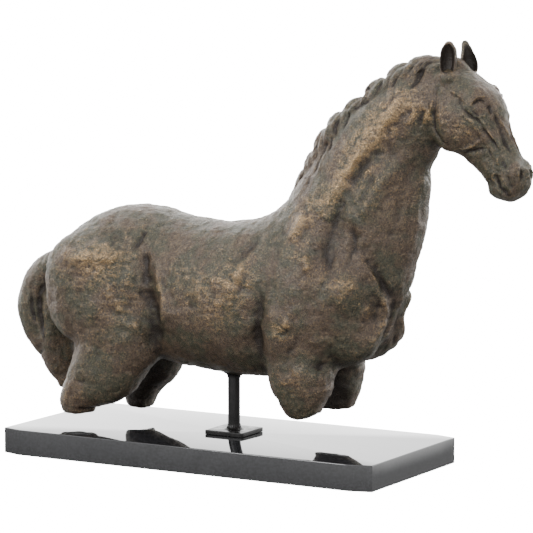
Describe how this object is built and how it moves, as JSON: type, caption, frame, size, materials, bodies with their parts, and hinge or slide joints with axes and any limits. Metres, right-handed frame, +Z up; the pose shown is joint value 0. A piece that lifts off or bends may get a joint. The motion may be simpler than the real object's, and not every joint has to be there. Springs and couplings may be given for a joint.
{
  "type": "horse statue",
  "caption": "Bronze horse figurine with cut-off limbs, cast in hollow sections, held by a round steel post and square plate over a polished black granite slab.",
  "frame": {"origin": "on the floor, under the middle of the statue's overall box", "axes": "+X towards the horse's nose, +Y towards the horse's left side, +Z up"},
  "size_m": [0.6772, 0.218, 0.4939],
  "materials": {
    "bronze": "dark brown-green patina, satin, rubbed to gold on the high spots",
    "black_steel": "satin black",
    "bright_steel": "zinc plated",
    "granite": "polished black granite",
    "felt": "black felt"
  },
  "bodies": {
    "root": {"rear_trunk_casting": "bronze", "front_trunk_casting": "bronze", "neck_casting": "bronze", "head_casting": "bronze", "mane_casting": "bronze", "tail_casting": "bronze", "ear_left": "bronze", "ear_right": "bronze", "fore_limb_left": "bronze", "fore_limb_right": "bronze", "hind_limb_left": "bronze", "hind_limb_right": "bronze", "support_post": "black_steel", "lower_weld_bead": "black_steel", "upper_weld_bead": "black_steel", "mounting_plate": "black_steel", "belly_socket": "bright_steel", "base_bolt": "bright_steel", "base_washer": "bright_steel", "lock_washer": "bright_steel", "granite_base": "granite", "base_pad_1": "felt", "base_pad_2": "felt", "base_pad_3": "felt", "base_pad_4": "felt"}
  },
  "joints": []
}
